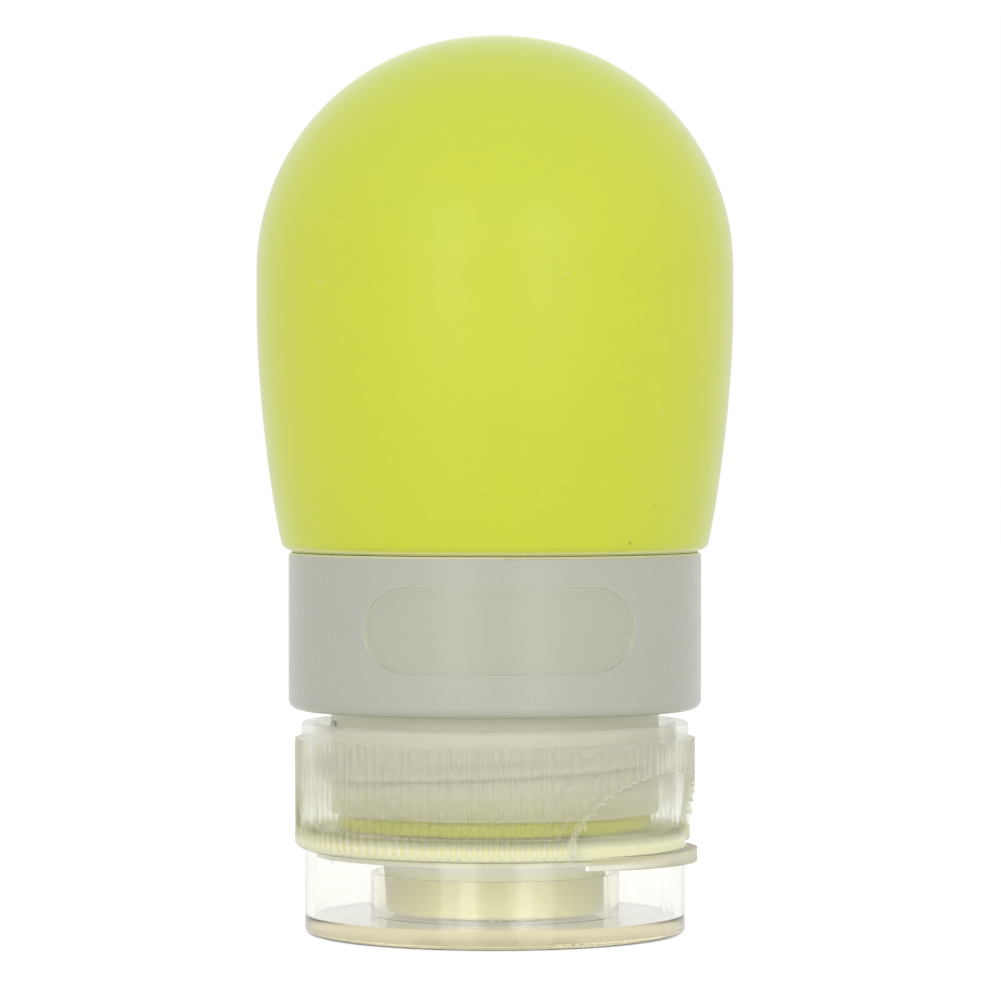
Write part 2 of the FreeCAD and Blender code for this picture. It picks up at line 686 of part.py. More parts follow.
def thumb_tab(body):
    """Crescent that stands out of the lid's wall, stepped where it rises past the rim into the thumb recess."""
    tab_top = "(Sizes.lid_height + Sizes.tab_lift)"
    tab_foot = f"({tab_top} - Sizes.tab_thickness)"
    step = f"({LID_RADIUS} + Sizes.tab_fit)"
    sketch = new_sketch(body, "tab_outline", "XY_Plane")
    sketch.setExpression("AttachmentOffset.Base.z", tab_foot)
    circle_outline(sketch, "Sizes.tab_offset", "0", "Sizes.tab_radius")
    tab = body.newObject("PartDesign::Pad", "tab")
    tab.Profile = sketch
    tab.setExpression("Length", "Sizes.tab_thickness")
    doc.recompute()
    turned(body, "tab_clearance", [
        ("0", tab_foot),
        (LID_BORE, tab_foot),
        (LID_BORE, "Sizes.lid_height"),
        (step, "Sizes.lid_height"),
        (step, f"{tab_top} + Sizes.overrun"),
        ("0", f"{tab_top} + Sizes.overrun"),
    ], "PartDesign::Groove")


def failed(item):
    """Tell whether an object did not compute."""
    return "Invalid" in item.State or "Error" in item.State


def write(pieces):
    """Check every object and every finished piece, then write one file for each piece."""
    doc.recompute()
    broken = [item.Name for item in doc.Objects if failed(item)]
    if broken:
        raise RuntimeError(f"objects that failed: {broken}")
    os.makedirs("parts", exist_ok=True)
    for piece in pieces:
        shape = piece.Shape
        if shape.isNull() or not shape.isValid():
            raise RuntimeError(f"{piece.Label} has no valid shape")
        print(piece.Label, "solids", len(shape.Solids), "volume", round(shape.Volume, 2), shape.BoundBox)
    for piece in pieces:
        piece.Shape.exportStep(f"parts/{piece.Label}.step")


fill_sheet()
write([
    silicone_body(), neck_ring(), label_ring(), id_collar(), cap_base(), spout_valve(), valve_retainer(), lid()])
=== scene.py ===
import math
import bmesh
import bpy
from mathutils import Matrix


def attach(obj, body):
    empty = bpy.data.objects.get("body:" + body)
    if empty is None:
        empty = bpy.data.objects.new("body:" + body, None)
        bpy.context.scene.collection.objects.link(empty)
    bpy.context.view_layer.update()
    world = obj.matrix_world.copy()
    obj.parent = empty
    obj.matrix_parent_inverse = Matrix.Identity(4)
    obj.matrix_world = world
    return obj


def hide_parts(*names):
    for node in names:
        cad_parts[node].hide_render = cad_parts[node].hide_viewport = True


# Looks of a travel squeeze bottle that stands on its flip lid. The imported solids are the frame; the soft
# pieces and the screw threads are modelled here, in metres, with sizes written in millimetres.

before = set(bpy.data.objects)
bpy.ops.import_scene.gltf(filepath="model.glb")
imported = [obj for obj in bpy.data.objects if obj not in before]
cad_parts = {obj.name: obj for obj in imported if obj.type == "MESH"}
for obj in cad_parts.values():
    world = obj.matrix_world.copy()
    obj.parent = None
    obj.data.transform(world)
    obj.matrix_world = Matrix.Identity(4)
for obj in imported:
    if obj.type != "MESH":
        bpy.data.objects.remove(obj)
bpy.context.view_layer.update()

MM = 0.001
WELD = 0.002 * MM
CREASE = math.radians(35)

# Axis heights and radii of the soft body, in millimetres
SEAT = 34.3
CROWN = 80.3
BELLY = 21.35
DOME_ROUND = 20.9
FLANK_CORNER = 45.38
FLANK_RUN = 10.3
FOOT = 19.0
FOOT_ROUND = 0.75
SEAL_OUTER = 18.2
SEAL_INNER = 17.6
SEAL_DROP = 0.14
WALL = 2.5
NECK = 12.5
BORE = 10.5
LIP = 14.0
LIP_TOP = 10.9
LIP_END = 9.5
LIP_ROUND = 0.35
INNER_FOOT = 16.96
INNER_CORNER = 46.66
INNER_RUN = 9.0
THROAT_ROUND = 1.0
LEAN = 0.15

# Screw thread shared by the neck and the cap, in millimetres, with its phase in radians
PITCH = 4.2
NECK_ROOT = 14.6
NECK_CREST = 15.55
CAP_ROOT = 16.3
CAP_CREST = 15.3
THREAD_HALF_ROOT = 0.75
THREAD_HALF_CREST = 0.3
THREAD_RUN_OUT = 0.7
THREAD_TURNS = 1.45
NECK_START = 12.5
CAP_START = 11.5
THREAD_PHASE = 0.6

# Slit valve, in millimetres
VALVE_FOOT = 3.05
VALVE_EYE = 5.0
VALVE_EYE_UNDER_ROUND = 0.5
VALVE_EYE_OVER_ROUND = 0.3
VALVE_RIM = 8.55
VALVE_RIM_ROUND = 0.15
VALVE_FLANGE = 1.0
VALVE_RISE = 1.2
VALVE_SKIN = 0.6
VALVE_BEND = 2.6
VALVE_BEND_RUN = 1.2
VALVE_UNDER_SAG = 0.12
VALVE_OVER_SAG = 0.1
SLIT_HALF_LENGTH = 3.0
SLIT_HALF_WIDTH = 0.06

# Steps in one turn of a round piece
DOME_STEPS = 144
THREAD_STEPS = 72
VALVE_STEPS = 96

# Turn of the cap, its valve and its thumb recess about the bottle's axis, as packed
CAP_TURN = math.radians(-28)

# Thumb recess of the cap, an arch with one crown and two shoulder arcs, in millimetres
ARCH_LEVEL = 7.66
CROWN_ARC = 20.0
CROWN_DROP = 12.65
SHOULDER_ARC = 7.0
SHOULDER_OUT = 4.3
SHOULDER_DROP = 0.382

# Pill shaped window of the collar, in millimetres
WINDOW_TURN = math.radians(1.5)
WINDOW_LEVEL = 27.7
WINDOW_STRAIGHT = 8.0
WINDOW_ROUND = 3.8
WINDOW_REACH = 18.38

# Heights between which a finish, a painted light or a painted shade changes, in millimetres over the base
LOW_LIME = (SEAT, 58.0)
HIGH_LIME = (56.0, 79.0)
LIP_PAINTED_LIGHT = (11.5, 14.0)
FOOT_PAINTED_LIGHT = (34.4, 34.6)
WINDOW_PAINTED_LIGHT_LOW = (24.2, 26.5)
WINDOW_PAINTED_LIGHT_HIGH = (29.0, 31.4)
COLLAR_SHOULDER_PAINTED_LIGHT = (33.9, 34.1)
NECK_PAINTED_LIGHT = (16.5, 18.0)
DECK_TO_SKIRT = (8.5, 13.5)
SPOUT_PAINTED_LIGHT_RISE = (5.2, 6.2)
SPOUT_PAINTED_LIGHT_FALL = (6.9, 7.5)
GROOVE_PAINTED_LIGHT_RISE = (8.5, 9.5)
LIP_GLOW_PAINTED_RISE = (9.5, 10.5)
LIP_GLOW_PAINTED_FALL = (10.8, 14.0)
ARCH_PAINTED_SHADE_RISE = (8.5, 9.2)
SOLID_FALL = (8.6, 9.7)
CLOUD_RISE = (10.6, 13.5)
SOCKET_RISE = (1.7, 1.9)
LID_BASE = (0.03, 0.06)

# Reaches from the axis at which a finish, a painted light or a painted shade changes, in millimetres
FOOT_REACH = 17.2
GROOVE_PAINTED_LIGHT_REACH = (17.65, 17.85)
CREST_PAINTED_SHADE_REACH = (17.83, 17.92)
TAB_REACH = (17.08, 17.16)
SOCKET_REACH = 11.5

# Distances from an outline over which a finish, a painted light or a painted shade changes, in millimetres
WINDOW_PAINTED_LIGHT_INSIDE = (-0.45, 0.0)
WINDOW_PAINTED_LIGHT_OUTSIDE = (0.01, 0.04)
ARCH_PAINTED_SHADE_LINE = (0.0, 0.2)

# Spread of the mould grain's height, which is a plain number
GRAIN_SPREAD = (0.5, 1.1)

# Room, floor, lamps and camera: places in metres, lens and sensor in millimetres, tilt in degrees
ROOM_LIGHT = 0.75
FLOOR_HALF = 1.5
FLOOR_LEVEL = -0.05 * MM
FLOOR_GLOW = 0.5
FLOOR_CLEAR = 0.6
LAMP_AIM = 0.04
LENS = 176.2
SENSOR = 36
CAMERA_PLACE = (0.0005, -0.4395, 0.04486)
CAMERA_TILT = 0.8


def finished(name, shape, body, material):
    """Turn a bmesh into a piece that rides a body, smooth but for its sharp creases."""
    bmesh.ops.remove_doubles(shape, verts=shape.verts[:], dist=WELD)
    bmesh.ops.recalc_face_normals(shape, faces=shape.faces[:])
    for face in shape.faces:
        face.smooth = True
    for edge in shape.edges:
        edge.smooth = len(edge.link_faces) == 2 and edge.calc_face_angle(0) < CREASE
    mesh = bpy.data.meshes.new(name)
    shape.to_mesh(mesh)
    shape.free()
    piece = bpy.data.objects.new(name, mesh)
    bpy.context.scene.collection.objects.link(piece)
    mesh.materials.append(material)
    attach(piece, body)
    return piece


def rounded_section(corners, segments=6):
    """Lay a half section in the XZ plane, round its corners, and leave its outline.

    A corner is its place across and up, then the run and the segments of its rounding if it has one.
    """
    shape = bmesh.new()
    points = [shape.verts.new((corner[0] * MM, 0, corner[1] * MM)) for corner in corners]
    shape.faces.new(points)
    for point, corner in zip(points, corners):
        if len(corner) > 2:
            bmesh.ops.bevel(
                shape, geom=[point], offset=corner[2] * MM, offset_type="OFFSET", affect="VERTICES",
                segments=corner[3] if len(corner) > 3 else segments, profile=0.5, material=-1)
    bmesh.ops.delete(shape, geom=shape.faces[:], context="FACES_ONLY")
    on_axis = [edge for edge in shape.edges if all(vert.co.x < WELD for vert in edge.verts)]
    bmesh.ops.delete(shape, geom=on_axis, context="EDGES")
    return shape


def turned(shape, steps):
    """Spin an outline once round the bottle's axis."""
    bmesh.ops.spin(
        shape, geom=shape.verts[:] + shape.edges[:], cent=(0, 0, 0), axis=(0, 0, 1), angle=math.tau,
        steps=steps, use_merge=True)
    return shape


# Node helpers


def node(tree, kind, inputs=None, **settings):
    """Add a node, set its properties, and fill or link the named or numbered inputs."""
    made = tree.nodes.new(kind)
    for key, setting in settings.items():
        setattr(made, key, setting)
    for key, given in (inputs or {}).items():
        if isinstance(given, bpy.types.NodeSocket):
            tree.links.new(given, made.inputs[key])
        else:
            made.inputs[key].default_value = given
    return made


def maths(tree, operation, *terms):
    """Add a Math node and return its result."""
    return node(tree, "ShaderNodeMath", dict(enumerate(terms)), operation=operation).outputs[0]


def product(tree, first, *others):
    """Multiply values."""
    for other in others:
        first = maths(tree, "MULTIPLY", first, other)
    return first


def vectors(tree, operation, *terms):
    """Add a Vector Math node and return it."""
    return node(tree, "ShaderNodeVectorMath", dict(enumerate(terms)), operation=operation)


def spread(tree, source, low, high, to_low=0.0, to_high=1.0):
    """Map a value from one range to another, held at both ends."""
    return node(tree, "ShaderNodeMapRange", {
        "Value": source, "From Min": low, "From Max": high, "To Min": to_low, "To Max": to_high}).outputs[0]


def ramp(tree, length, ends, to_low=0.0, to_high=1.0):
    """Map a length between two ends, which are in millimetres."""
    return spread(tree, length, ends[0] * MM, ends[1] * MM, to_low, to_high)


def tint(tree, factor, first, second):
    """Mix two colours."""
    return node(tree, "ShaderNodeMix", {0: factor, 6: first, 7: second}, data_type="RGBA").outputs[2]


def new_group(name, inputs, outputs):
    """Start a shader node group with named sockets and return its tree and its two ends."""
    tree = bpy.data.node_groups.new(name, "ShaderNodeTree")
    for label, kind, value in inputs:
        socket = tree.interface.new_socket(label, in_out="INPUT", socket_type=kind)
        if value is not None:
            socket.default_value = value
    for label, kind in outputs:
        tree.interface.new_socket(label, in_out="OUTPUT", socket_type=kind)
    return tree, tree.nodes.new("NodeGroupInput"), tree.nodes.new("NodeGroupOutput")


def dust_group():
    """Sparse specks of dust: one cell in so many holds a speck."""
    tree, start, end = new_group("dust_specks", [
        ("Vector", "NodeSocketVector", None), ("Scale", "NodeSocketFloat", 500.0),
        ("Share", "NodeSocketFloat", 0.06), ("Radius", "NodeSocketFloat", 0.16)],
        [("Mask", "NodeSocketFloat")])
    place = start.outputs["Vector"]
    bent = node(tree, "ShaderNodeTexNoise", {"Vector": place, "Scale": 900.0, "Detail": 1.0})
    push = vectors(tree, "MULTIPLY", bent.outputs["Color"], (0.0006, 0.0006, 0.0006))
    moved = vectors(tree, "ADD", place, push.outputs[0]).outputs[0]
    cells = node(tree, "ShaderNodeTexVoronoi", {"Vector": moved, "Scale": start.outputs["Scale"]})
    pick = node(tree, "ShaderNodeSeparateColor", {0: cells.outputs["Color"]})
    chosen = maths(tree, "LESS_THAN", pick.outputs[0], start.outputs["Share"])
    size = product(tree, start.outputs["Radius"], spread(tree, pick.outputs[1], 0.0, 1.0, 0.4, 1.0))
    inside = maths(tree, "SUBTRACT", 1.0, maths(tree, "DIVIDE", cells.outputs["Distance"], size))
    soft = node(tree, "ShaderNodeClamp", {0: product(tree, inside, 2.0)}).outputs[0]
    tree.links.new(product(tree, soft, chosen), end.inputs["Mask"])
    return tree


def cloud_group():
    """Slow, cloudy change of tone through a moulded piece."""
    tree, start, end = new_group("cloudy_tone", [
        ("Vector", "NodeSocketVector", None), ("Scale", "NodeSocketFloat", 60.0),
        ("Contrast", "NodeSocketFloat", 0.25)], [("Value", "NodeSocketFloat")])
    noise = node(tree, "ShaderNodeTexNoise", {
        "Vector": start.outputs["Vector"], "Scale": start.outputs["Scale"],
        "Detail": 3.0, "Roughness": 0.55})
    low = maths(tree, "SUBTRACT", 0.5, start.outputs["Contrast"])
    high = maths(tree, "ADD", 0.5, start.outputs["Contrast"])
    tree.links.new(spread(tree, noise.outputs["Fac"], low, high), end.inputs["Value"])
    return tree


def grain_group():
    """Fine grain of a matt or frosted mould, as a height."""
    tree, start, end = new_group("mould_grain", [
        ("Vector", "NodeSocketVector", None), ("Scale", "NodeSocketFloat", 4000.0)],
        [("Height", "NodeSocketFloat")])
    fine = node(tree, "ShaderNodeTexNoise", {
        "Vector": start.outputs["Vector"], "Scale": start.outputs["Scale"], "Detail": 2.0})
    coarse_scale = product(tree, start.outputs["Scale"], 0.17)
    coarse = node(tree, "ShaderNodeTexNoise", {
        "Vector": start.outputs["Vector"], "Scale": coarse_scale, "Detail": 1.0})
    both = maths(tree, "MULTIPLY_ADD", coarse.outputs["Fac"], 0.6, fine.outputs["Fac"])
    tree.links.new(both, end.inputs["Height"])
    return tree


def scuff_group():
    """Hairline scuffs from handling: thin stretched bands, broken up so that few of them show."""
    tree, start, end = new_group("hairline_scuffs", [
        ("Vector", "NodeSocketVector", None), ("Scale", "NodeSocketFloat", 120.0),
        ("Share", "NodeSocketFloat", 0.1)], [("Mask", "NodeSocketFloat")])
    place = start.outputs["Vector"]
    stretched = node(tree, "ShaderNodeMapping", {
        "Vector": place, "Rotation": (0.5, 0.35, 0.9), "Scale": (1.0, 14.0, 1.0)})
    lines = node(tree, "ShaderNodeTexNoise", {
        "Vector": stretched.outputs[0], "Scale": start.outputs["Scale"], "Detail": 2.0})
    away = maths(tree, "ABSOLUTE", maths(tree, "SUBTRACT", lines.outputs["Fac"], 0.5))
    thin = spread(tree, away, 0.0, 0.012, 1.0, 0.0)
    patches = node(tree, "ShaderNodeTexNoise", {"Vector": place, "Scale": 210.0, "Detail": 0.0})
    limit = maths(tree, "SUBTRACT", 0.72, start.outputs["Share"])
    shown = spread(tree, maths(tree, "SUBTRACT", patches.outputs["Fac"], limit), 0.0, 0.08)
    tree.links.new(product(tree, thin, shown), end.inputs["Mask"])
    return tree


DUST = dust_group()
CLOUD = cloud_group()
GRAIN = grain_group()
SCUFF = scuff_group()


def placed(tree, group, **inputs):
    """Place a node group in a material and return its output."""
    return node(tree, "ShaderNodeGroup", inputs, node_tree=group).outputs[0]


def new_material(name, constants):
    """Start a material and return it with its tree, its shader and its object coordinates."""
    material = bpy.data.materials.new(name)
    material.use_nodes = True
    tree = material.node_tree
    shader = tree.nodes["Principled BSDF"]
    for key, value in constants.items():
        shader.inputs[key].default_value = value
    spot = node(tree, "ShaderNodeTexCoord").outputs["Object"]
    return material, tree, shader, spot


def level(tree, spot):
    """Height of a point over the bottle's base."""
    return node(tree, "ShaderNodeSeparateXYZ", {0: spot}).outputs["Z"]


def reach(tree, spot):
    """Distance of a point from the bottle's axis."""
    flat = vectors(tree, "MULTIPLY", spot, (1.0, 1.0, 0.0))
    return vectors(tree, "LENGTH", flat.outputs[0]).outputs["Value"]


def turned_back(tree, spot, turn):
    """Coordinates of a point with a piece's own turn about the axis taken off."""
    back = node(tree, "ShaderNodeVectorRotate", {"Vector": spot, "Angle": -turn}, rotation_type="Z_AXIS")
    return node(tree, "ShaderNodeSeparateXYZ", {0: back.outputs[0]}).outputs


def from_arch(tree, spot):
    """Distance of a point from the edge of the cap's thumb recess, and whether it is on that side."""
    axes = turned_back(tree, spot, CAP_TURN)
    across = maths(tree, "ABSOLUTE", axes["Y"])
    rise = maths(tree, "SUBTRACT", axes["Z"], ARCH_LEVEL * MM)
    face = node(tree, "ShaderNodeCombineXYZ", {0: across, 1: rise}).outputs[0]
    crown = vectors(tree, "DISTANCE", face, (0, -CROWN_DROP * MM, 0))
    crown = maths(tree, "SUBTRACT", crown.outputs["Value"], CROWN_ARC * MM)
    shoulder = vectors(tree, "DISTANCE", face, (SHOULDER_OUT * MM, -SHOULDER_DROP * MM, 0))
    shoulder = maths(tree, "SUBTRACT", shoulder.outputs["Value"], SHOULDER_ARC * MM)
    side = vectors(tree, "DOT_PRODUCT", face, (CROWN_DROP - SHOULDER_DROP, -SHOULDER_OUT, 0))
    on_shoulder = maths(tree, "GREATER_THAN", side.outputs["Value"], SHOULDER_OUT * CROWN_DROP * MM)
    gap = maths(tree, "MULTIPLY_ADD", on_shoulder, maths(tree, "SUBTRACT", shoulder, crown), crown)
    return maths(tree, "ABSOLUTE", gap), maths(tree, "GREATER_THAN", axes["X"], 0.0)


def from_window(tree, spot):
    """Distance of a point outwards from the outline of the window, and whether it is on that side."""
    axes = turned_back(tree, spot, WINDOW_TURN)
    across = maths(tree, "SUBTRACT", maths(tree, "ABSOLUTE", axes["X"]), WINDOW_STRAIGHT * MM)
    across = maths(tree, "MAXIMUM", across, 0.0)
    rise = maths(tree, "SUBTRACT", axes["Z"], WINDOW_LEVEL * MM)
    face = node(tree, "ShaderNodeCombineXYZ", {0: across, 1: rise}).outputs[0]
    gap = maths(tree, "SUBTRACT", vectors(tree, "LENGTH", face).outputs["Value"], WINDOW_ROUND * MM)
    return gap, maths(tree, "LESS_THAN", axes["Y"], 0.0)


def roughened(tree, shader, height, strength, depth):
    """Give a shader a bump of the given height."""
    bump = node(tree, "ShaderNodeBump", {"Height": height, "Strength": strength, "Distance": depth})
    tree.links.new(bump.outputs[0], shader.inputs["Normal"])


def lime_silicone():
    """Matt translucent lime silicone with specks of dust; painted light brightens its foot and its lip."""
    material, tree, shader, spot = new_material("lime_silicone", {
        "IOR": 1.41, "Subsurface Weight": 0.75, "Subsurface Radius": (1.0, 0.95, 0.3),
        "Subsurface Scale": 0.004, "Sheen Weight": 1.0, "Sheen Roughness": 0.3,
        "Sheen Tint": (0.93, 1.0, 0.88, 1)})
    height = level(tree, spot)
    cloud = placed(tree, CLOUD, Vector=spot, Scale=42.0, Contrast=0.22)
    lime = tint(tree, cloud, (0.655, 0.745, 0.055, 1), (0.72, 0.765, 0.06, 1))
    lime = tint(tree, ramp(tree, height, LOW_LIME, 0.35, 0.0), lime, (0.665, 0.76, 0.045, 1))
    lime = tint(tree, ramp(tree, height, HIGH_LIME, 0.0, 0.8), lime, (0.60, 0.70, 0.065, 1))
    # Painted light: the lip is tinted brighter to stand in for the light that the shade inside the cap
    # keeps off
    lime = tint(tree, ramp(tree, height, LIP_PAINTED_LIGHT, 1.0, 0.0), lime, (0.93, 1.0, 0.14, 1))
    # Painted light: the dome's outer foot is tinted brighter to lift the shade in the crease where it meets
    # the collar
    outside = maths(tree, "GREATER_THAN", reach(tree, spot), FOOT_REACH * MM)
    foot = product(tree, ramp(tree, height, FOOT_PAINTED_LIGHT, 1.0, 0.0), outside)
    lime = tint(tree, foot, lime, (1.0, 1.0, 0.3, 1))
    dark = placed(tree, DUST, Vector=spot, Scale=420.0, Share=0.05, Radius=0.13)
    lime = tint(tree, product(tree, dark, 0.55), lime, (0.32, 0.34, 0.07, 1))
    pale = placed(tree, DUST, Vector=spot, Scale=610.0, Share=0.04, Radius=0.12)
    lime = tint(tree, product(tree, pale, 0.3), lime, (0.85, 0.86, 0.6, 1))
    tree.links.new(lime, shader.inputs["Base Color"])
    grain = placed(tree, GRAIN, Vector=spot, Scale=3200.0)
    tree.links.new(spread(tree, grain, *GRAIN_SPREAD, 0.3, 0.42), shader.inputs["Roughness"])
    roughened(tree, shader, grain, strength=0.12, depth=0.03 * MM)
    return material


def frosted_collar():
    """Frosted grey plastic; its sunk window is polished and a trace greener. Painted light brightens its
    shoulder and the outline of the window.
    """
    material, tree, shader, spot = new_material("frosted_collar", {"IOR": 1.46})
    height = level(tree, spot)
    window = maths(tree, "LESS_THAN", reach(tree, spot), WINDOW_REACH * MM)
    cloud = placed(tree, CLOUD, Vector=spot, Scale=75.0, Contrast=0.3)
    grey = tint(tree, cloud, (0.505, 0.51, 0.435, 1), (0.525, 0.525, 0.45, 1))
    grey = tint(tree, product(tree, window, 0.5), grey, (0.505, 0.52, 0.40, 1))
    # Painted light along the window's outline, faint at its bottom edge, to lift the shade in the sunk step
    # at its sides and top
    gap, this_side = from_window(tree, spot)
    window_outline_painted_light = maths(tree, "POWER", ramp(tree, gap, WINDOW_PAINTED_LIGHT_INSIDE), 2.0)
    window_outline_painted_light = product(
        tree, window_outline_painted_light, ramp(tree, gap, WINDOW_PAINTED_LIGHT_OUTSIDE, 1.0, 0.0), ramp(tree, height, WINDOW_PAINTED_LIGHT_LOW, 0.1, 1.0),
        ramp(tree, height, WINDOW_PAINTED_LIGHT_HIGH, 1.0, 0.5), this_side)
    grey = tint(tree, window_outline_painted_light, grey, (0.86, 0.87, 0.74, 1))
    # Painted light on the collar's shoulder, to lift the shade under the dome's overhanging foot
    grey = tint(tree, ramp(tree, height, COLLAR_SHOULDER_PAINTED_LIGHT), grey, (0.90, 0.91, 0.66, 1))
    dark = placed(tree, DUST, Vector=spot, Scale=520.0, Share=0.03, Radius=0.12)
    grey = tint(tree, product(tree, dark, 0.5), grey, (0.22, 0.22, 0.19, 1))
    tree.links.new(grey, shader.inputs["Base Color"])
    grain = placed(tree, GRAIN, Vector=spot, Scale=5200.0)
    frost = spread(tree, grain, *GRAIN_SPREAD, 0.26, 0.34)
    polished = maths(tree, "MULTIPLY_ADD", window, maths(tree, "SUBTRACT", 0.26, frost), frost)
    tree.links.new(polished, shader.inputs["Roughness"])
    frosted = spread(tree, window, 0.0, 1.0, 1.0, 0.0)
    roughened(tree, shader, product(tree, grain, frosted), strength=0.1, depth=0.02 * MM)
    return material


def milky_plastic(name, deep, pale, rough):
    """Natural moulded plastic, cloudy all through, with painted light where it comes out of the cap into
    the shade under the collar.
    """
    material, tree, shader, spot = new_material(name, {
        "IOR": 1.46, "Subsurface Weight": 1.0, "Subsurface Radius": (1.0, 0.95, 0.75),
        "Subsurface Scale": 0.003})
    cloud = placed(tree, CLOUD, Vector=spot, Scale=90.0, Contrast=0.28)
    milk = tint(tree, cloud, deep, pale)
    # Painted light: the neck is tinted lighter where it shows in the shaded gap between the cap and the
    # collar
    milk = tint(tree, ramp(tree, level(tree, spot), NECK_PAINTED_LIGHT), milk, (0.95, 0.92, 0.72, 1))
    tree.links.new(milk, shader.inputs["Base Color"])
    grain = placed(tree, GRAIN, Vector=spot, Scale=3600.0)
    frost = spread(tree, grain, *GRAIN_SPREAD, rough - 0.04, rough + 0.06)
    tree.links.new(frost, shader.inputs["Roughness"])
    roughened(tree, shader, grain, strength=0.08, depth=0.02 * MM)
    return material


def milky_cap():
    """Milky plastic: the thin skirt lets what lies behind it show, the deck and spout are solid cream.
    Painted light brightens the spout's root and the grooves between the ribs and tints the skirt green
    above the lime lip; painted shade darkens the rib crests and draws the edge of the thumb recess.
    """
    material, tree, shader, spot = new_material("milky_cap", {
        "IOR": 1.46, "Subsurface Weight": 1.0, "Subsurface Radius": (1.0, 0.97, 0.85),
        "Subsurface Scale": 0.001, "Sheen Weight": 0.6, "Sheen Roughness": 0.3,
        "Specular IOR Level": 0.3})
    height = level(tree, spot)
    away = reach(tree, spot)
    cloud = placed(tree, CLOUD, Vector=spot, Scale=90.0, Contrast=0.28)
    thin = tint(tree, cloud, (0.95, 0.92, 0.73, 1), (0.98, 0.95, 0.78, 1))
    thick = tint(tree, cloud, (0.94, 0.91, 0.60, 1), (0.97, 0.94, 0.65, 1))
    milk = tint(tree, ramp(tree, height, DECK_TO_SKIRT), thick, thin)
    # Painted light: the spout's root is tinted lighter to lift the shade under the deck
    root = product(tree, ramp(tree, height, SPOUT_PAINTED_LIGHT_RISE), ramp(tree, height, SPOUT_PAINTED_LIGHT_FALL, 1.0, 0.0))
    milk = tint(tree, root, milk, (1.0, 0.99, 0.82, 1))
    # Painted light in the grooves between the ribs, to lift the shade that gathers there
    groove_painted_light = product(tree, ramp(tree, away, GROOVE_PAINTED_LIGHT_REACH, 0.3, 0.0), ramp(tree, height, GROOVE_PAINTED_LIGHT_RISE))
    milk = tint(tree, groove_painted_light, milk, (0.98, 0.97, 0.86, 1))
    # Painted shade on the rib crests, to even their lighting with the grooves
    milk = tint(tree, ramp(tree, away, CREST_PAINTED_SHADE_REACH, 0.0, 0.15), milk, (0.70, 0.68, 0.53, 1))
    # Painted light: a pale green glow on the skirt above the lip, for the lime lip's light bleeding into
    # the plastic
    glow = product(tree, ramp(tree, height, LIP_GLOW_PAINTED_RISE), ramp(tree, height, LIP_GLOW_PAINTED_FALL, 0.4, 0.0))
    milk = tint(tree, glow, milk, (0.88, 0.95, 0.50, 1))
    gap, this_side = from_arch(tree, spot)
    # Painted shade: a dark line along the edge of the thumb recess, which also makes the skirt more solid
    # there
    arch = product(tree, ramp(tree, gap, ARCH_PAINTED_SHADE_LINE, 0.34, 0.0), this_side, ramp(tree, height, ARCH_PAINTED_SHADE_RISE))
    milk = tint(tree, arch, milk, (0.40, 0.39, 0.32, 1))
    tree.links.new(milk, shader.inputs["Base Color"])
    solid = ramp(tree, height, SOLID_FALL, 1.0, 0.14)
    clouded = maths(tree, "ADD", ramp(tree, height, CLOUD_RISE, 0.0, 0.14), arch)
    tree.links.new(maths(tree, "ADD", solid, clouded), shader.inputs["Alpha"])
    grain = placed(tree, GRAIN, Vector=spot, Scale=3600.0)
    tree.links.new(spread(tree, grain, *GRAIN_SPREAD, 0.3, 0.4), shader.inputs["Roughness"])
    roughened(tree, shader, grain, strength=0.08, depth=0.02 * MM)
    return material


def label_sleeve():
    """Plain matt sleeve with a faint grain."""
    material, tree, shader, spot = new_material("label_sleeve", {"IOR": 1.45})
    cloud = placed(tree, CLOUD, Vector=spot, Scale=110.0, Contrast=0.3)
    matt = tint(tree, cloud, (0.48, 0.5, 0.38, 1), (0.54, 0.55, 0.43, 1))
    tree.links.new(matt, shader.inputs["Base Color"])
    grain = placed(tree, GRAIN, Vector=spot, Scale=4200.0)
    tree.links.new(spread(tree, grain, *GRAIN_SPREAD, 0.5, 0.62), shader.inputs["Roughness"])
    return material


def lit_through(tree, shader, colour):
    """Let the lamps shine through a see-through piece onto what lies behind it."""
    lamp = node(tree, "ShaderNodeLightPath").outputs["Is Shadow Ray"]
    open_way = node(tree, "ShaderNodeBsdfTransparent", {"Color": colour})
    mixed = node(tree, "ShaderNodeMixShader", {0: lamp, 1: shader.outputs[0], 2: open_way.outputs[0]})
    tree.links.new(mixed.outputs[0], tree.nodes["Material Output"].inputs["Surface"])


